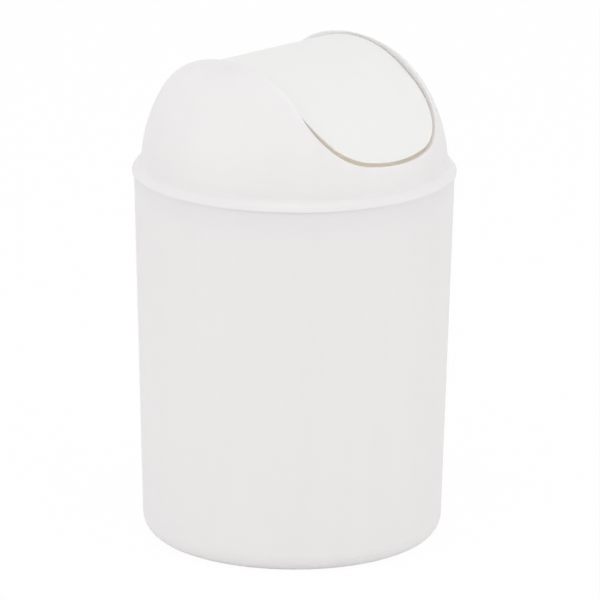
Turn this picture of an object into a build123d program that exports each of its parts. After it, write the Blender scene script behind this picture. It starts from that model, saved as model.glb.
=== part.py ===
"""Countertop waste bin: a tapered round bin, a domed lift-off lid and a free-swinging flap.

Frame: millimetres, +Z up, origin at the centre of the base on the table plane.
The flap swings about an axis parallel to X; the front of the bin faces -Y.
"""
from build123d import *
import os
from math import atan2, cos, degrees, hypot, radians, sin

os.makedirs("parts", exist_ok=True)

# ---------------------------------------------------------------- driving dimensions
# Bin: outer wall
rim_height = 152.5          # top of the bin's wall, where the lid rests
rim_radius = 65.0
base_radius = 60.9          # the tapered wall carried down to the table plane
base_edge_radius = 8.5      # rounding between the wall and the base
bin_wall = 1.6
rim_edge_radius = 0.5

# Bin: base
base_recess = 1.6           # how far the middle of the base stands off the table
recess_radius = 47.0
recess_edge_radius = 0.7
floor_thickness = 1.8
gate_radius = 5.0           # shallow well round the moulding gate, under the base
gate_depth = 0.5

# Lid: dome, whose outline is a long side bend and a tighter shoulder bend
dome_foot_height = 154.6    # where the dome's wall stands upright, inside the bead
dome_radius = 62.2
side_bend = 62.9
side_angle = 35.4           # degrees of the side bend
shoulder_bend = 39.1
lid_wall = 1.5

# Lid: bead that covers the bin's rim, and the skirt that locates it
bead_radius = 65.8
bead_rise = 3.9             # from the rim to the top of the bead
bead_land = 0.5             # upright edge at the bottom of the bead
bead_root_depth = 0.25      # how far the bead's upper end reaches into the dome's wall
bead_bulge = 0.5            # how far the bead's face bows out from a straight slope, per axis
bead_blend_radius = 1.6
skirt_clearance = 0.4       # per side, to the bin's inner wall
skirt_depth = 10.0
skirt_draft = 0.4           # the skirt narrows this much on its way down
skirt_edge_radius = 0.5

# Opening in the dome, drawn in the front view
opening_half_width = 35.1
opening_bottom = 166.6
opening_corner_radius = 22.0
opening_end_radius = 100.0  # shallow curve along the bottom
opening_edge_radius = 0.2
lip_depth = 3.2             # lip along each straight side, from the dome's outer face inwards
lip_foot_height = 185.0

# Flap
flap_half_width = 34.1
flap_bottom = 167.6
flap_corner_radius = 23.0
flap_end_radius = 73.0
flap_crown = 203.0
flap_wall = 1.6
crown_bend = 50.0           # radius over the top
crown_half_angle = 32.5     # degrees of that bend on each side
flank_bend = 144.0          # gentle radius of the two flanks
flank_angle = 18.0          # degrees of that bend, past the flap's lower edge
flap_edge_radius = 0.2

# Swing bearings
pivot_height = 196.0
pin_radius = 2.45
bore_radius = 2.5
pin_chamfer = 0.4
lug_inner_face = 35.9       # distance from the middle plane
lug_thickness = 2.6
lug_radius = 4.6
pin_overhang = 0.4          # the pin's tip beyond the lug
ear_outer_face = 33.5
ear_thickness = 2.2
ear_radius = 4.2
collar_radius = 3.5
collar_clearance = 0.3      # end float to the lug

# ---------------------------------------------------------------- worked-out values
wall_lean = (rim_radius - base_radius) / rim_height
floor_top = base_recess + floor_thickness
side_centre = (dome_radius - side_bend, dome_foot_height)
shoulder_centre = (
    side_centre[0] + (side_bend - shoulder_bend) * cos(radians(side_angle)),
    side_centre[1] + (side_bend - shoulder_bend) * sin(radians(side_angle)),
)
dome_crown = shoulder_centre[1] + shoulder_bend
crown_centre = flap_crown - crown_bend
flank_centre = (
    (crown_bend - flank_bend) * sin(radians(crown_half_angle)),
    crown_centre + (crown_bend - flank_bend) * cos(radians(crown_half_angle)),
)
bead_top = (dome_radius - bead_root_depth, rim_height + bead_rise)
bead_edge = (bead_radius, rim_height + bead_land)
bead_middle = ((bead_top[0] + bead_edge[0]) / 2 + bead_bulge,
               (bead_top[1] + bead_edge[1]) / 2 + bead_bulge)
dome_mid_wall = dome_radius - lid_wall / 2
dome_inner_wall = dome_radius - lid_wall
skirt_radius = rim_radius - bin_wall - skirt_clearance
skirt_foot_radius = skirt_radius - skirt_draft
skirt_foot = rim_height - skirt_depth
lip_middle = opening_half_width + lid_wall / 2
ear_inner_face = ear_outer_face - ear_thickness
ear_top = flap_crown - flap_wall / 2
cut_reach = 4 * rim_radius  # farther than any side of the lid
same_surface = 0.05         # an edge this near to a curved face lies on it


def dome_arcs(inset):
    """Side and shoulder arcs of the dome's outline, from its foot to the crown, inset by a wall."""
    foot = (dome_radius - inset, dome_foot_height)
    side = JernArc(foot, (0, 1), side_bend - inset, side_angle)
    shoulder = JernArc(side @ 1, side % 1, shoulder_bend - inset, 90 - side_angle)
    return side, shoulder


def dome_depth(edge):
    """Distance of an edge's middle below the dome's outer face."""
    spot = edge @ 0.5
    out, up = hypot(spot.X, spot.Y), spot.Z
    rise = degrees(atan2(up - side_centre[1], out - side_centre[0]))
    if rise < side_angle:
        return side_bend - hypot(out - side_centre[0], up - side_centre[1])
    return shoulder_bend - hypot(out - shoulder_centre[0], up - shoulder_centre[1])


def front_outline(half_width, bottom, corner_radius, end_radius):
    """Face of the opening or flap in the front view: straight sides and a rounded lower end."""
    corner_height = bottom + end_radius - (end_radius**2 - half_width**2) ** 0.5
    with BuildLine() as outline:
        ThreePointArc((-half_width, corner_height), (0, bottom), (half_width, corner_height))
        Polyline((half_width, corner_height), (half_width, cut_reach),
                 (-half_width, cut_reach), (-half_width, corner_height))
    make_face(outline.edges())
    fillet(outline.vertices().group_by(Axis.Y)[0], corner_radius)


def arch(inset):
    """Face under the flap's side profile: a crown bend and two gently bowed flanks."""
    with BuildLine() as outline:
        for turn in (1, -1):
            crown = JernArc((0, flap_crown - inset), (-turn, 0),
                            crown_bend - inset, turn * crown_half_angle)
            JernArc(crown @ 1, crown % 1, flank_bend - inset, turn * flank_angle)
        feet = outline.vertices().group_by(Axis.Y)[0].sort_by(Axis.X)
        Line(feet[0], feet[1])
    make_face(outline.edges())


def arch_depth(edge):
    """Distance of an edge's middle below the flap's outer face."""
    spot = edge @ 0.5
    out, up = abs(spot.Y), spot.Z
    if degrees(atan2(out, up - crown_centre)) < crown_half_angle:
        return crown_bend - hypot(out, up - crown_centre)
    return flank_bend - hypot(out - flank_centre[0], up - flank_centre[1])


# ---------------------------------------------------------------- bin body
with BuildPart() as bin_body:
    with BuildSketch(Plane.XZ) as bin_section:
        with BuildLine():
            Polyline((0, base_recess), (recess_radius, base_recess), (recess_radius, 0),
                     (base_radius, 0), (rim_radius, rim_height),
                     (rim_radius - bin_wall, rim_height),
                     (base_radius - bin_wall + wall_lean * floor_top, floor_top),
                     (0, floor_top), close=True)
        make_face()
        fillet(bin_section.vertices().sort_by_distance((base_radius, 0))[0], base_edge_radius)
        fillet(bin_section.vertices().sort_by_distance((base_radius, floor_top))[0],
               base_edge_radius - bin_wall)
        fillet(bin_section.vertices().filter_by_position(Axis.X, recess_radius, recess_radius),
               recess_edge_radius)
        fillet(bin_section.vertices().group_by(Axis.Y)[-1], rim_edge_radius)
    revolve(axis=Axis.Z)
    with BuildSketch(Plane.XY.offset(base_recess)):
        Circle(gate_radius)
    extrude(amount=gate_depth, mode=Mode.SUBTRACT)
bin_body.part.label = "bin_body"

# ---------------------------------------------------------------- bearing lugs under the dome
with BuildPart() as bearing_lugs:
    with BuildSketch(Plane.YZ.offset(lug_inner_face)):
        with Locations((0, pivot_height)):
            Circle(lug_radius)
        with Locations((0, (pivot_height + dome_crown) / 2)):
            Rectangle(2 * lug_radius, dome_crown - pivot_height)
        with Locations((0, pivot_height)):
            Circle(bore_radius, mode=Mode.SUBTRACT)
    extrude(amount=lug_thickness)
    mirror(about=Plane.YZ)
    with BuildSketch(Plane.XZ):
        with BuildLine():
            side, shoulder = dome_arcs(lid_wall / 2)
            Polyline(shoulder @ 1, (0, dome_crown - lid_wall / 2), (0, dome_foot_height), side @ 0)
        make_face()
    revolve(axis=Axis.Z, mode=Mode.INTERSECT)

# ---------------------------------------------------------------- lips along the opening's sides
with BuildPart() as side_lips:
    with BuildSketch(Plane.XZ):
        with BuildLine():
            side, shoulder = dome_arcs(lid_wall / 2)
            inner_side, inner_shoulder = dome_arcs(lip_depth)
            Line(side @ 0, inner_side @ 0)
            Line(shoulder @ 1, inner_shoulder @ 1)
        make_face()
    revolve(axis=Axis.Z)
    with BuildSketch(Plane.XZ):
        with Locations((lip_middle, (lip_foot_height + dome_crown) / 2),
                       (-lip_middle, (lip_foot_height + dome_crown) / 2)):
            Rectangle(lid_wall, dome_crown - lip_foot_height)
    extrude(amount=cut_reach, both=True, mode=Mode.INTERSECT)

# ---------------------------------------------------------------- lid
with BuildPart() as lid_dome:
    with BuildSketch(Plane.XZ) as lid_section:
        with BuildLine():
            side, shoulder = dome_arcs(0)
            inner_side, inner_shoulder = dome_arcs(lid_wall)
            Line(side @ 0, inner_side @ 0)
            Polyline(shoulder @ 1, (0, dome_crown), (0, dome_crown - lid_wall), inner_shoulder @ 1)
        make_face()
        with BuildLine():
            ThreePointArc(bead_top, bead_middle, bead_edge)
            Polyline(bead_edge, (bead_radius, rim_height), (skirt_radius, rim_height),
                     (skirt_foot_radius, skirt_foot), (skirt_foot_radius - lid_wall, skirt_foot),
                     (dome_inner_wall, rim_height), (dome_inner_wall, dome_foot_height),
                     (dome_mid_wall, dome_foot_height), (dome_mid_wall, bead_top[1]), bead_top)
        make_face()
        fillet(lid_section.vertices().sort_by_distance(bead_top)[0], bead_blend_radius)
        fillet(lid_section.vertices().group_by(Axis.Y)[0], skirt_edge_radius)
    revolve(axis=Axis.Z)
    with BuildSketch(Plane.XZ):
        front_outline(opening_half_width, opening_bottom, opening_corner_radius, opening_end_radius)
    extrude(amount=cut_reach, both=True, mode=Mode.SUBTRACT)
    opening_edges = lid_dome.edges(Select.LAST).filter_by(
        lambda edge: abs(dome_depth(edge)) < same_surface)
    fillet(opening_edges, opening_edge_radius)
    add(side_lips.part)
    add(bearing_lugs.part)
lid_dome.part.label = "lid_dome"

# ---------------------------------------------------------------- flap
with BuildPart() as swing_flap:
    with BuildSketch(Plane.YZ):
        arch(0)
    extrude(amount=flap_half_width, both=True)
    with BuildSketch(Plane.YZ):
        arch(flap_wall)
    extrude(amount=flap_half_width, both=True, mode=Mode.SUBTRACT)
    with BuildSketch(Plane.XZ):
        front_outline(flap_half_width, flap_bottom, flap_corner_radius, flap_end_radius)
    extrude(amount=cut_reach, both=True, mode=Mode.INTERSECT)
    flap_edges = swing_flap.edges().filter_by(lambda edge: abs(arch_depth(edge)) < same_surface)
    fillet(flap_edges.filter_by(Axis.X, reverse=True), flap_edge_radius)
    for outwards in (Plane.YZ, Plane.YZ.rotated((0, 0, 180))):
        with BuildSketch(outwards.offset(ear_inner_face)):
            with Locations((0, pivot_height)):
                Circle(ear_radius)
            with Locations((0, (pivot_height + ear_top) / 2)):
                Rectangle(2 * ear_radius, ear_top - pivot_height)
        extrude(amount=ear_thickness)
        with BuildSketch(outwards.offset(ear_outer_face)):
            with Locations((0, pivot_height)):
                Circle(collar_radius)
        extrude(amount=lug_inner_face - collar_clearance - ear_outer_face)
        with BuildSketch(outwards.offset(ear_outer_face)):
            with Locations((0, pivot_height)):
                Circle(pin_radius)
        extrude(amount=lug_inner_face + lug_thickness + pin_overhang - ear_outer_face)
    for tip in (Axis.X, -Axis.X):
        chamfer(swing_flap.faces().sort_by(tip)[-1].edges(), pin_chamfer)
swing_flap.part.label = "swing_flap"

# ---------------------------------------------------------------- files
for piece in (bin_body, lid_dome, swing_flap):
    export_step(piece.part, f"parts/{piece.part.label}.step")
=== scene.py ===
"""Looks of a countertop waste bin: a tapered round bin, a domed lift-off lid and a swinging flap.

Frame: metres, +Z up, origin at the centre of the base on the table plane. The flap swings about
an axis parallel to X, and the front of the bin faces -Y. Sizes of the pieces and finishes are in
millimetres, and MM turns them to metres where a mesh or a material needs them. Sizes of the
studio and its camera are in metres.
"""
import logging
from dataclasses import dataclass
from enum import Enum
from math import cos, radians, sin
from typing import Any

import bpy
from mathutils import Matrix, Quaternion, Vector


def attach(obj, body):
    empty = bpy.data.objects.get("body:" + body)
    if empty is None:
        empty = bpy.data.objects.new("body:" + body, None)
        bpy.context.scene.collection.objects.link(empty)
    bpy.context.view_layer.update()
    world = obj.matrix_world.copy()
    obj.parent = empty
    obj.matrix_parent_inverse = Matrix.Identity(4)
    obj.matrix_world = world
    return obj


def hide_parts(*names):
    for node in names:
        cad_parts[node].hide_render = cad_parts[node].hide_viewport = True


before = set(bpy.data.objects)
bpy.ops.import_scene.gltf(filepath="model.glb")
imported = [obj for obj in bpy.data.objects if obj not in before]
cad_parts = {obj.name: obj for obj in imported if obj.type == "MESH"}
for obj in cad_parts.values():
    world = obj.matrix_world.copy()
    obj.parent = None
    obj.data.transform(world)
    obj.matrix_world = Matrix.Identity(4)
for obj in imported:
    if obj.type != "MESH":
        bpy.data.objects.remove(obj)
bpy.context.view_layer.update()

LOG = logging.getLogger("waste_bin")
MM = 0.001                      # metres in a millimetre
MIDDLE = Vector((0, 0, 0.100))  # middle of the bin, where the lamps and the camera look
WHITE = (1.0, 1.0, 1.0, 1.0)
Hex = str
Triple = tuple[float, float, float]
Number = float | bpy.types.NodeSocket
Corner = tuple[Number, Number, Number]


class Body(Enum):
    """Bodies of the frame that a piece can ride on."""

    BIN = "bin"
    LID = "lid"
    FLAP = "flap"


class Slot(Enum):
    """Material slots of the record that a piece takes its finish from."""

    BIN = "bin_plastic"
    LID = "lid_plastic"
    FLAP = "flap_plastic"


# ---------------------------------------------------------------- helpers
def linear_colour(colour: Hex) -> tuple[float, float, float, float]:
    """Turns an sRGB hex colour to a linear one.

    Args:
        colour: Six hex digits after a #.

    Returns:
        Linear red, green and blue, and an alpha of 1.
    """
    channels = [int(colour[place:place + 2], 16) / 255 for place in (1, 3, 5)]
    red, green, blue = (c / 12.92 if c <= 0.04045 else ((c + 0.055) / 1.055) ** 2.4
                        for c in channels)
    return red, green, blue, 1.0


def add_node(tree: bpy.types.NodeTree, kind: str, inputs: dict[str | int, Any] | None = None,
             **settings: Any) -> bpy.types.Node:
    """Adds a node with its settings, and sets or links its inputs.

    Args:
        tree: Node tree that gets the node.
        kind: Type name of the node.
        inputs: Input name or number, with a value or an output socket to link from.
        **settings: Properties of the node, set before its inputs.

    Returns:
        The new node.
    """
    node = tree.nodes.new(kind)
    for key, value in settings.items():
        setattr(node, key, value)
    for key, value in (inputs or {}).items():
        if isinstance(value, bpy.types.NodeSocket):
            tree.links.new(value, node.inputs[key])
        else:
            node.inputs[key].default_value = value
    return node


def seen_directly(tree: bpy.types.NodeTree) -> bpy.types.NodeSocket:
    """Socket that is 1 for what the camera sees, also in gloss or through glass, and else 0.

    Args:
        tree: Node tree of the floor or the world.

    Returns:
        The socket.
    """
    path = add_node(tree, "ShaderNodeLightPath").outputs
    seen = add_node(tree, "ShaderNodeMath",
                    {0: path["Is Camera Ray"], 1: path["Is Glossy Ray"]},
                    operation="ADD").outputs[0]
    return add_node(tree, "ShaderNodeMath", {0: seen, 1: path["Is Transmission Ray"]},
                    operation="ADD", use_clamp=True).outputs[0]


def link_object(name: str, data: Any) -> bpy.types.Object:
    """Makes an object and puts it in the scene.

    Args:
        name: Object's name.
        data: Mesh, lamp or camera that it holds.

    Returns:
        The new object.
    """
    thing = bpy.data.objects.new(name, data)
    bpy.context.scene.collection.objects.link(thing)
    return thing


def aim(spot: Vector) -> Quaternion:
    """Turn that makes a lamp or camera at a spot look at the middle of the bin."""
    return (MIDDLE - spot).to_track_quat("-Z", "Y")


# ---------------------------------------------------------------- finishes
@dataclass(frozen=True)
class Grain:
    """Grain that the steel of a mould leaves on a face. Sizes are in millimetres."""

    width: float
    height: float
    roughness: float


class MouldFace(Enum):
    """Ways the steel of a mould is left.

    Real spark-eroded grain is about 0.05 mm wide and 0.01 mm high. It is drawn about ten times as
    wide because it would not show at all otherwise.
    """

    FINE_SPARK = Grain(width=0.55, height=0.012, roughness=0.46)
    SATIN = Grain(width=0.45, height=0.007, roughness=0.40)


@dataclass(frozen=True)
class MouldedPolypropylene:
    """White polypropylene, injection-moulded in an eroded steel mould. Sizes are in millimetres.

    What the eye gets from it: a matt face with a broad soft sheen, a wall that waves very slightly
    where it shrank, faint streaks the way the plastic flowed, a milky depth because some light
    goes into the wall and comes back out beside where it went in, and a stray dark speck.

    Attributes:
        name: Material's name.
        colour: Colour of the face.
        streak: Colour in the flow streaks.
        face: How the mould was left.
        flow_scale: Scale of the streaks along each axis, where less than 1 draws them out.
        rubbed: Lowest and highest edge of the band that hands keep a little shinier.
        milky: Share of the light that goes into the wall and comes back out.

    The other fields are the same for all the pieces, and stand with their meaning.
    """

    name: str
    colour: Hex
    streak: Hex
    face: MouldFace
    flow_scale: Triple
    rubbed: tuple[float, float]
    milky: float
    ior: float = 1.49                   # of polypropylene
    light_reach: float = 3.0            # how far light spreads in the wall
    reach_of_colours: Triple = (1.0, 0.97, 0.94)        # share of it for red, green and blue
    wave_length: float = 30.0           # of the waves where the wall shrank unevenly
    wave_height: float = 0.15
    wave_strength: float = 0.3          # leaves the waves a few hundredths high
    grain_strength: float = 0.8
    grain_shine: float = 0.06           # how much the roughness varies with the grain
    streak_width: float = 11.0
    streak_levels: tuple[float, float] = (0.35, 0.7)    # noise where a streak starts, is full
    speck_colour: Hex = "#B9B2A8"
    speck_cell: float = 17.0            # width of a cell that holds one speck or none
    speck_share: float = 0.2            # share of the cells with a speck
    speck_edge: tuple[float, float] = (0.17, 0.34)      # radius of its full part, of its rim
    speck_depth: float = 0.5            # how much of its colour a speck takes
    rub_fade: float = 0.35              # share of the rubbed band over which it fades in or out
    rub_polish: float = 0.08            # what rubbing takes off the roughness

    def build(self) -> bpy.types.Material:
        """Makes the material.

        Returns:
            The material, with its node tree made.
        """
        grain = self.face.value
        material = bpy.data.materials.new(self.name)
        material.use_nodes = True
        tree = material.node_tree
        tree.nodes.clear()
        place = add_node(tree, "ShaderNodeTexCoord").outputs["Object"]
        in_mm = add_node(tree, "ShaderNodeMapping",
                         {"Vector": place, "Scale": (1 / MM,) * 3}).outputs[0]
        tint = self.tint(tree, in_mm)
        relief = add_node(tree, "ShaderNodeTexNoise",
                          {"Vector": in_mm, "Scale": 1 / grain.width, "Detail": 2.0}).outputs[0]
        shine = self.shine(tree, in_mm, relief)
        waves = add_node(tree, "ShaderNodeTexNoise",
                         {"Vector": in_mm, "Scale": 1 / self.wave_length,
                          "Detail": 1.0}).outputs[0]
        wavy = add_node(tree, "ShaderNodeBump",
                        {"Height": waves, "Strength": self.wave_strength,
                         "Distance": self.wave_height * MM}).outputs[0]
        normal = add_node(tree, "ShaderNodeBump",
                          {"Height": relief, "Strength": self.grain_strength,
                           "Distance": grain.height * MM, "Normal": wavy}).outputs[0]
        shader = add_node(tree, "ShaderNodeBsdfPrincipled",
                          {"Base Color": tint, "Roughness": shine, "Normal": normal,
                           "IOR": self.ior, "Subsurface Weight": self.milky,
                           "Subsurface Radius": self.reach_of_colours,
                           "Subsurface Scale": self.light_reach * MM})
        add_node(tree, "ShaderNodeOutputMaterial", {"Surface": shader.outputs[0]})
        return material

    def tint(self, tree: bpy.types.NodeTree, in_mm: bpy.types.NodeSocket) -> bpy.types.NodeSocket:
        """Colour of the face, with its flow streaks and specks.

        Args:
            tree: Material's node tree.
            in_mm: Place on the piece, in millimetres.

        Returns:
            Socket that gives the colour.
        """
        stretched = add_node(tree, "ShaderNodeMapping",
                             {"Vector": in_mm, "Scale": self.flow_scale}).outputs[0]
        flow = add_node(tree, "ShaderNodeTexNoise",
                        {"Vector": stretched, "Scale": 1 / self.streak_width,
                         "Detail": 3.0}).outputs[0]
        start, full = self.streak_levels
        streaks = add_node(tree, "ShaderNodeMapRange",
                           {"Value": flow, "From Min": start, "From Max": full}).outputs[0]
        streaked = add_node(tree, "ShaderNodeMix",
                            {"Factor": streaks, "A": linear_colour(self.colour),
                             "B": linear_colour(self.streak)}, data_type="RGBA")
        # A speck sits in the middle of some cells, where the distance in cell widths is smallest.
        cells = add_node(tree, "ShaderNodeTexVoronoi",
                         {"Vector": in_mm, "Scale": 1 / self.speck_cell})
        pick = add_node(tree, "ShaderNodeSeparateColor", {"Color": cells.outputs["Color"]})
        chosen = add_node(tree, "ShaderNodeMath",
                          {0: pick.outputs[0], 1: 1 - self.speck_share},
                          operation="GREATER_THAN").outputs[0]
        solid, rim = (radius / self.speck_cell for radius in self.speck_edge)
        dot = add_node(tree, "ShaderNodeMapRange",
                       {"Value": cells.outputs["Distance"], "From Min": solid, "From Max": rim,
                        "To Min": self.speck_depth, "To Max": 0.0}).outputs[0]
        speck = add_node(tree, "ShaderNodeMath", {0: chosen, 1: dot},
                         operation="MULTIPLY").outputs[0]
        return add_node(tree, "ShaderNodeMix",
                        {"Factor": speck, "A": streaked.outputs["Result"],
                         "B": linear_colour(self.speck_colour)},
                        data_type="RGBA").outputs["Result"]

    def shine(self, tree: bpy.types.NodeTree, in_mm: bpy.types.NodeSocket,
              relief: bpy.types.NodeSocket) -> bpy.types.NodeSocket:
        """Roughness of the face, lower in the grain's hollows and where hands rub it.

        Args:
            tree: Material's node tree.
            in_mm: Place on the piece, in millimetres.
            relief: Height of the mould's grain, 0 to 1.

        Returns:
            Socket that gives the roughness.
        """
        roughness = self.face.value.roughness
        grained = add_node(tree, "ShaderNodeMapRange",
                           {"Value": relief, "To Min": roughness - self.grain_shine,
                            "To Max": roughness + self.grain_shine}).outputs[0]
        height = add_node(tree, "ShaderNodeSeparateXYZ", {0: in_mm}).outputs["Z"]
        low, high = self.rubbed
        fade = self.rub_fade * (high - low)
        above = add_node(tree, "ShaderNodeMapRange",
                         {"Value": height, "From Min": low, "From Max": low + fade}).outputs[0]
        below = add_node(tree, "ShaderNodeMapRange",
                         {"Value": height, "From Min": high, "From Max": high - fade}).outputs[0]
        band = add_node(tree, "ShaderNodeMath", {0: above, 1: below}, operation="MULTIPLY")
        return add_node(tree, "ShaderNodeMath",
                        {0: band.outputs[0], 1: -self.rub_polish, 2: grained},
                        operation="MULTIPLY_ADD").outputs[0]


BIN_FINISH = MouldedPolypropylene(
    "white_polypropylene_bin", "#EAE8E8", "#E9E7E7", MouldFace.FINE_SPARK,
    flow_scale=(1.0, 1.0, 0.12), rubbed=(138.0, 153.5), milky=0.2)
LID_FINISH = MouldedPolypropylene(
    "white_polypropylene_lid", "#EAE8E9", "#E9E7E8", MouldFace.FINE_SPARK,
    flow_scale=(1.0, 1.0, 0.4), rubbed=(151.5, 160.0), milky=0.6)
FLAP_FINISH = MouldedPolypropylene(
    "white_polypropylene_flap", "#EDEDED", "#ECECEC", MouldFace.SATIN,
    flow_scale=(1.0, 0.3, 0.5), rubbed=(168.0, 184.0), milky=0.4)


# ---------------------------------------------------------------- pieces
@dataclass
class BinBody:
    """Tapered round bin, turned from one outline. Sizes are in millimetres.

    The base is recessed so that the bin stands on a ring, with a shallow well round the spot where
    the plastic entered the mould.
    """

    rim_height: float = 152.5
    rim_radius: float = 65.0
    base_radius: float = 60.9           # the wall carried down to the table plane
    wall: float = 1.6
    base_recess: float = 1.6
    recess_radius: float = 47.0
    floor_top: float = 3.4
    gate_radius: float = 5.0
    gate_depth: float = 0.5
    base_rounding: float = 8.5
    inner_rounding: float = 6.9
    recess_rounding: float = 0.7
    rim_rounding: float = 0.5
    segments: int = 224                 # round the bin
    arc_points: int = 9                 # in each rounded corner
    weld: float = 0.01                  # points closer than this become one
    crease: float = 40.0                # degrees of bend past which an edge stays sharp
    name: str = "bin_shell"

    def sizes(self) -> dict[str, float]:
        """Named sizes of the outline, as the node tree takes them.

        Returns:
            Each size's name in the tree, and the size in metres.
        """
        return {
            "Rim Height": self.rim_height * MM,
            "Rim Radius": self.rim_radius * MM,
            "Base Radius": self.base_radius * MM,
            "Wall": self.wall * MM,
            "Base Recess": self.base_recess * MM,
            "Recess Radius": self.recess_radius * MM,
            "Floor Top": self.floor_top * MM,
            "Gate Radius": self.gate_radius * MM,
            "Gate Depth": self.gate_depth * MM,
            "Base Rounding": self.base_rounding * MM,
            "Inner Rounding": self.inner_rounding * MM,
            "Recess Rounding": self.recess_rounding * MM,
            "Rim Rounding": self.rim_rounding * MM,
        }

    def corners(self, tree: bpy.types.NodeTree,
                size: bpy.types.NodeOutputs) -> tuple[Corner, ...]:
        """Corners of the outline, worked out in the tree from the named sizes.

        Args:
            tree: Node tree that turns the bin.
            size: Named sizes, as the tree's inputs give them.

        Returns:
            Each corner's distance from the axis, height and rounding, from the middle of the
            underside, out, up the wall and back to the middle of the floor.
        """
        inner_rim = add_node(tree, "ShaderNodeMath", {0: size["Rim Radius"], 1: size["Wall"]},
                             operation="SUBTRACT").outputs[0]
        spread = add_node(tree, "ShaderNodeMath",
                          {0: size["Rim Radius"], 1: size["Base Radius"]},
                          operation="SUBTRACT").outputs[0]
        floor_share = add_node(tree, "ShaderNodeMath",
                               {0: size["Floor Top"], 1: size["Rim Height"]},
                               operation="DIVIDE").outputs[0]
        inner_base = add_node(tree, "ShaderNodeMath",
                              {0: size["Base Radius"], 1: size["Wall"]},
                              operation="SUBTRACT").outputs[0]
        inner_foot = add_node(tree, "ShaderNodeMath", {0: spread, 1: floor_share, 2: inner_base},
                              operation="MULTIPLY_ADD").outputs[0]
        gate_top = add_node(tree, "ShaderNodeMath",
                            {0: size["Base Recess"], 1: size["Gate Depth"]},
                            operation="ADD").outputs[0]
        return (
            (0.0, gate_top, 0.0),
            (size["Gate Radius"], gate_top, 0.0),
            (size["Gate Radius"], size["Base Recess"], 0.0),
            (size["Recess Radius"], size["Base Recess"], size["Recess Rounding"]),
            (size["Recess Radius"], 0.0, size["Recess Rounding"]),
            (size["Base Radius"], 0.0, size["Base Rounding"]),
            (size["Rim Radius"], size["Rim Height"], size["Rim Rounding"]),
            (inner_rim, size["Rim Height"], size["Rim Rounding"]),
            (inner_foot, size["Floor Top"], size["Inner Rounding"]),
            (0.0, size["Floor Top"], 0.0),
        )

    def rounded_outline(self, tree: bpy.types.NodeTree, corners: tuple[Corner, ...],
                        arc_points: bpy.types.NodeSocket) -> bpy.types.NodeSocket:
        """Lays a line through the corners and rounds each by its own radius.

        Args:
            tree: Node tree that turns the bin.
            corners: Distance from the axis, height and rounding of each corner.
            arc_points: Points in each rounded corner.

        Returns:
            Socket that gives the outline as a curve.
        """
        corner = add_node(tree, "GeometryNodeInputIndex").outputs[0]
        spots = add_node(tree, "GeometryNodeIndexSwitch", data_type="VECTOR")
        roundings = add_node(tree, "GeometryNodeIndexSwitch", data_type="FLOAT")
        for switch in (spots, roundings):
            while len(switch.index_switch_items) < len(corners):
                switch.index_switch_items.new()
            tree.links.new(corner, switch.inputs[0])
        for place, (radius, height, rounding) in enumerate(corners, start=1):
            spot = add_node(tree, "ShaderNodeCombineXYZ", {"X": radius, "Z": height})
            tree.links.new(spot.outputs[0], spots.inputs[place])
            if rounding:
                tree.links.new(rounding, roundings.inputs[place])
        line = add_node(tree, "GeometryNodeMeshLine", {"Count": len(corners)})
        bent = add_node(tree, "GeometryNodeSetPosition",
                        {"Geometry": line.outputs[0], "Position": spots.outputs[0]})
        outline = add_node(tree, "GeometryNodeMeshToCurve", {"Mesh": bent.outputs[0]})
        return add_node(tree, "GeometryNodeFilletCurve",
                        {"Curve": outline.outputs[0], "Radius": roundings.outputs[0],
                         "Count": arc_points}, mode="POLY").outputs[0]

    def turned_shell(self, tree: bpy.types.NodeTree, outline: bpy.types.NodeSocket,
                     segments: bpy.types.NodeSocket) -> bpy.types.NodeSocket:
        """Bends a grid of outline points by segments, so that each row stands at its own angle.

        Args:
            tree: Node tree that turns the bin.
            outline: The outline as a curve.
            segments: Segments round the bin.

        Returns:
            Socket that gives the closed shell.
        """
        points = add_node(tree, "GeometryNodeAttributeDomainSize",
                          {"Geometry": outline}, component="CURVE").outputs[0]
        rows = add_node(tree, "ShaderNodeMath", {0: segments, 1: 1.0},
                        operation="ADD").outputs[0]
        grid = add_node(tree, "GeometryNodeMeshGrid", {"Vertices X": rows, "Vertices Y": points})
        point = add_node(tree, "GeometryNodeInputIndex").outputs[0]
        along = add_node(tree, "ShaderNodeMath", {0: point, 1: points},
                         operation="MODULO").outputs[0]
        row = add_node(tree, "ShaderNodeMath", {0: point, 1: points},
                       operation="DIVIDE").outputs[0]
        step = add_node(tree, "ShaderNodeMath", {0: row}, operation="FLOOR").outputs[0]
        share = add_node(tree, "ShaderNodeMath", {0: step, 1: segments},
                         operation="DIVIDE").outputs[0]
        angle = add_node(tree, "ShaderNodeMath", {0: share, 1: radians(360)},
                         operation="MULTIPLY").outputs[0]
        where = add_node(tree, "GeometryNodeInputPosition").outputs[0]
        picked = add_node(tree, "GeometryNodeSampleIndex",
                          {"Geometry": outline, "Value": where, "Index": along},
                          data_type="FLOAT_VECTOR", domain="POINT")
        turned = add_node(tree, "ShaderNodeVectorRotate",
                          {"Vector": picked.outputs[0], "Angle": angle},
                          rotation_type="Z_AXIS").outputs[0]
        shell = add_node(tree, "GeometryNodeSetPosition",
                         {"Geometry": grid.outputs[0], "Position": turned})
        return add_node(tree, "GeometryNodeMergeByDistance",
                        {"Geometry": shell.outputs[0], "Distance": self.weld * MM}).outputs[0]

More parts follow.
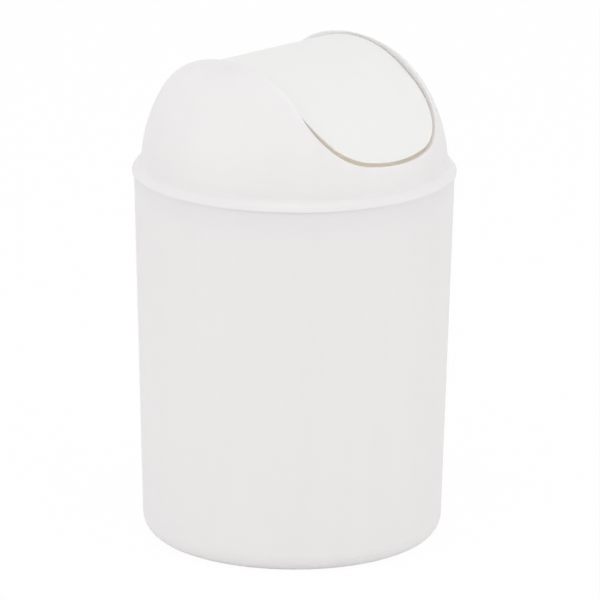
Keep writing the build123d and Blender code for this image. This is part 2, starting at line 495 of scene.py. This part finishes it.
    def creased(self, tree: bpy.types.NodeTree,
                shell: bpy.types.NodeSocket) -> bpy.types.NodeSocket:
        """Shades the shell smooth and keeps the edges that bend past the crease angle sharp.

        Args:
            tree: Node tree that turns the bin.
            shell: The closed shell.

        Returns:
            Socket that gives the shaded shell.
        """
        bend = add_node(tree, "GeometryNodeInputMeshEdgeAngle").outputs["Unsigned Angle"]
        sharp = add_node(tree, "ShaderNodeMath", {0: bend, 1: radians(self.crease)},
                         operation="GREATER_THAN").outputs[0]
        smooth = add_node(tree, "GeometryNodeSetShadeSmooth",
                          {0: shell, "Shade Smooth": True}, domain="FACE")
        return add_node(tree, "GeometryNodeSetShadeSmooth",
                        {0: smooth.outputs[0], "Selection": sharp, "Shade Smooth": False},
                        domain="EDGE").outputs[0]

    def turned_tree(self) -> tuple[bpy.types.NodeTree, dict[str, str]]:
        """Node tree that rounds the outline's corners and turns it round the bin's axis.

        Returns:
            The tree, and the identifier of each named input.
        """
        tree = bpy.data.node_groups.new("turned_bin", "GeometryNodeTree")
        tree.interface.new_socket("Geometry", in_out="OUTPUT", socket_type="NodeSocketGeometry")
        kinds = dict.fromkeys(self.sizes(), "NodeSocketFloat")
        kinds.update({"Segments": "NodeSocketInt", "Arc Points": "NodeSocketInt",
                      "Material": "NodeSocketMaterial"})
        sockets = {name: tree.interface.new_socket(name, in_out="INPUT",
                                                   socket_type=kind).identifier
                   for name, kind in kinds.items()}
        size = add_node(tree, "NodeGroupInput").outputs
        outline = self.rounded_outline(tree, self.corners(tree, size), size["Arc Points"])
        shell = self.turned_shell(tree, outline, size["Segments"])
        real = add_node(tree, "GeometryNodeRealizeInstances", {0: self.creased(tree, shell)})
        dressed = add_node(tree, "GeometryNodeSetMaterial",
                           {"Geometry": real.outputs[0], "Material": size["Material"]})
        add_node(tree, "NodeGroupOutput", {"Geometry": dressed.outputs[0]})
        return tree, sockets

    def build(self, finish: MouldedPolypropylene) -> bpy.types.Object:
        """Makes the bin as a plain mesh that stands for its CAD node.

        Args:
            finish: Finish of the bin.

        Returns:
            The bin's object, riding on its body.
        """
        tree, sockets = self.turned_tree()
        piece = link_object(self.name, bpy.data.meshes.new(self.name))
        turning = piece.modifiers.new("turned_bin", "NODES")
        turning.node_group = tree
        for name, size in self.sizes().items():
            turning[sockets[name]] = size
        turning[sockets["Segments"]] = self.segments
        turning[sockets["Arc Points"]] = self.arc_points
        turning[sockets["Material"]] = finish.build()
        # The big faces keep their own direction, so the shading changes only over the roundings.
        flat = piece.modifiers.new("flat_faces", "WEIGHTED_NORMAL")
        flat.keep_sharp = True
        ready = piece.evaluated_get(bpy.context.evaluated_depsgraph_get())
        solid = bpy.data.meshes.new_from_object(ready)
        # The evaluated mesh brings an empty material slot along, besides the finish.
        while None in solid.materials[:]:
            solid.materials.pop(index=solid.materials[:].index(None))
        piece.modifiers.clear()
        piece.data = solid
        solid.name = self.name
        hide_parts("bin_body")
        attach(piece, Body.BIN.value)
        return piece


@dataclass
class CarriedPiece:
    """A piece whose CAD node has the right shape, and gets its finish here."""

    node: str
    slot: Slot

    def build(self, finish: MouldedPolypropylene) -> bpy.types.Object:
        """Puts the finish in the node's material slots.

        Args:
            finish: Finish of the piece.

        Returns:
            The node's object.
        """
        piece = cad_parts[self.node]
        material = finish.build()
        for place in piece.material_slots:
            place.material = material
        return piece


@dataclass
class LidDome(CarriedPiece):
    """Domed lift-off lid with its bead, skirt, opening and bearing lugs."""

    node: str = "lid_dome"
    slot: Slot = Slot.LID


@dataclass
class SwingFlap(CarriedPiece):
    """Arched flap with its ears and pins."""

    node: str = "swing_flap"
    slot: Slot = Slot.FLAP


# ---------------------------------------------------------------- studio
@dataclass(frozen=True)
class SoftLamp:
    """Soft square white lamp that looks at the middle of the bin. Sizes are in metres."""

    name: str
    spot: Triple
    power: float                        # watts
    width: float = 1.4

    def hang(self) -> None:
        """Makes the lamp, hangs it at its spot and aims it."""
        data = bpy.data.lights.new(self.name, "AREA")
        data.energy = self.power
        data.size = self.width
        lamp = link_object(self.name, data)
        lamp.location = self.spot
        lamp.rotation_mode = "QUATERNION"
        lamp.rotation_quaternion = aim(lamp.location)


@dataclass(frozen=True)
class InnerGlow:
    """Warm round lamp inside the bin, for the light that comes through its thin walls.

    Sizes are in metres.
    """

    name: str = "through_the_walls"
    height: float = 0.09
    radius: float = 0.03
    power: float = 0.068                # watts
    colour: Hex = "#FFF7E2"

    def hang(self) -> None:
        """Makes the lamp and hangs it on the bin's axis."""
        data = bpy.data.lights.new(self.name, "POINT")
        data.energy = self.power
        data.shadow_soft_size = self.radius
        data.color = linear_colour(self.colour)[:3]
        lamp = link_object(self.name, data)
        lamp.location = (0, 0, self.height)


@dataclass
class Studio:
    """Pale floor, white surroundings and lamps. Sizes are in metres."""

    floor_width: float = 9.0
    floor_colour: Hex = "#FBFBFB"
    floor_glow: float = 0.96            # share of plain white in what the camera sees of the floor
    cockle_width: float = 0.010         # of the slight waves in the floor's paper
    cockle_height: float = 0.00002
    surround: float = 0.72              # strength of the light from all around
    lamps: tuple[SoftLamp | InnerGlow, ...] = (
        SoftLamp("left", (-1.6, 0.47, 0.45), power=5.3),
        SoftLamp("right", (0.5, -1.6, 0.45), power=5.2),
        SoftLamp("front", (-0.7, -0.72, 1.7), power=3.9),
        SoftLamp("overhead", (0.0, 0.0, 1.9), power=3.0),
        InnerGlow(),
    )

    def build(self) -> None:
        """Makes the floor, the surroundings and the lamps."""
        self.lay_floor()
        self.light_surroundings()
        for lamp in self.lamps:
            lamp.hang()

    def lay_floor(self) -> None:
        """Makes the floor, which shows nearly white and keeps the bin's shadow."""
        half = self.floor_width / 2
        mesh = bpy.data.meshes.new("floor")
        mesh.from_pydata([(-half, -half, 0), (half, -half, 0), (half, half, 0), (-half, half, 0)],
                         [], [(0, 1, 2, 3)])
        floor = link_object("floor", mesh)
        material = bpy.data.materials.new("white_paper_floor")
        material.use_nodes = True
        tree = material.node_tree
        tree.nodes.clear()
        place = add_node(tree, "ShaderNodeTexCoord").outputs["Object"]
        cockle = add_node(tree, "ShaderNodeTexNoise",
                          {"Vector": place, "Scale": 1 / self.cockle_width,
                           "Detail": 2.0}).outputs[0]
        relief = add_node(tree, "ShaderNodeBump",
                          {"Height": cockle, "Distance": self.cockle_height}).outputs[0]
        matt = add_node(tree, "ShaderNodeBsdfDiffuse",
                        {"Color": linear_colour(self.floor_colour), "Normal": relief})
        white = add_node(tree, "ShaderNodeEmission", {"Color": WHITE})
        share = add_node(tree, "ShaderNodeMath",
                         {0: seen_directly(tree), 1: self.floor_glow}, operation="MULTIPLY")
        both = add_node(tree, "ShaderNodeMixShader",
                        {0: share.outputs[0], 1: matt.outputs[0], 2: white.outputs[0]})
        add_node(tree, "ShaderNodeOutputMaterial", {"Surface": both.outputs[0]})
        mesh.materials.append(material)

    def light_surroundings(self) -> None:
        """Makes the world white for the camera and a plain soft light for the object."""
        world = bpy.data.worlds.new("white_surroundings")
        world.use_nodes = True
        tree = world.node_tree
        tree.nodes.clear()
        strength = add_node(tree, "ShaderNodeMapRange",
                            {"Value": seen_directly(tree), "To Min": self.surround,
                             "To Max": 1.0}).outputs[0]
        light = add_node(tree, "ShaderNodeBackground",
                         {"Color": WHITE, "Strength": strength})
        add_node(tree, "ShaderNodeOutputWorld", {"Surface": light.outputs[0]})
        bpy.context.scene.world = world


@dataclass
class StudioCamera:
    """Camera at the bin's front left, a little above it, with a long lens.

    Angles are in degrees, and shifts are shares of the view's width.
    """

    azimuth: float = -45.0              # from the front, negative to the left
    elevation: float = 15.96
    distance: float = 3.0               # metres from the middle of the bin
    lens: float = 442.0                 # mm of focal length
    sensor: float = 36.0                # mm of sensor width
    roll: float = 0.40
    shift_x: float = 0.0108
    shift_y: float = -0.0088

    def build(self) -> None:
        """Makes the camera and gives it to the scene."""
        turn, rise = radians(self.azimuth), radians(self.elevation)
        back = Vector((sin(turn) * cos(rise), -cos(turn) * cos(rise), sin(rise)))
        data = bpy.data.cameras.new("camera")
        data.lens = self.lens
        data.sensor_width = self.sensor
        data.shift_x = self.shift_x
        data.shift_y = self.shift_y
        camera = link_object("camera", data)
        camera.location = MIDDLE + back * self.distance
        camera.rotation_mode = "QUATERNION"
        camera.rotation_quaternion = (aim(camera.location)
                                      @ Quaternion((0, 0, 1), radians(self.roll)))
        bpy.context.scene.camera = camera


def main() -> None:
    """Builds the pieces and the studio in order, and reports each piece."""
    logging.basicConfig(level=logging.INFO, format="%(message)s")
    for maker, finish in ((BinBody(), BIN_FINISH), (LidDome(), LID_FINISH),
                          (SwingFlap(), FLAP_FINISH)):
        piece = maker.build(finish)
        LOG.info("%s: %d faces, %s", piece.name, len(piece.data.polygons), finish.name)
    Studio().build()
    StudioCamera().build()
    bpy.context.scene.view_settings.view_transform = "Standard"


if __name__ == "__main__":
    main()
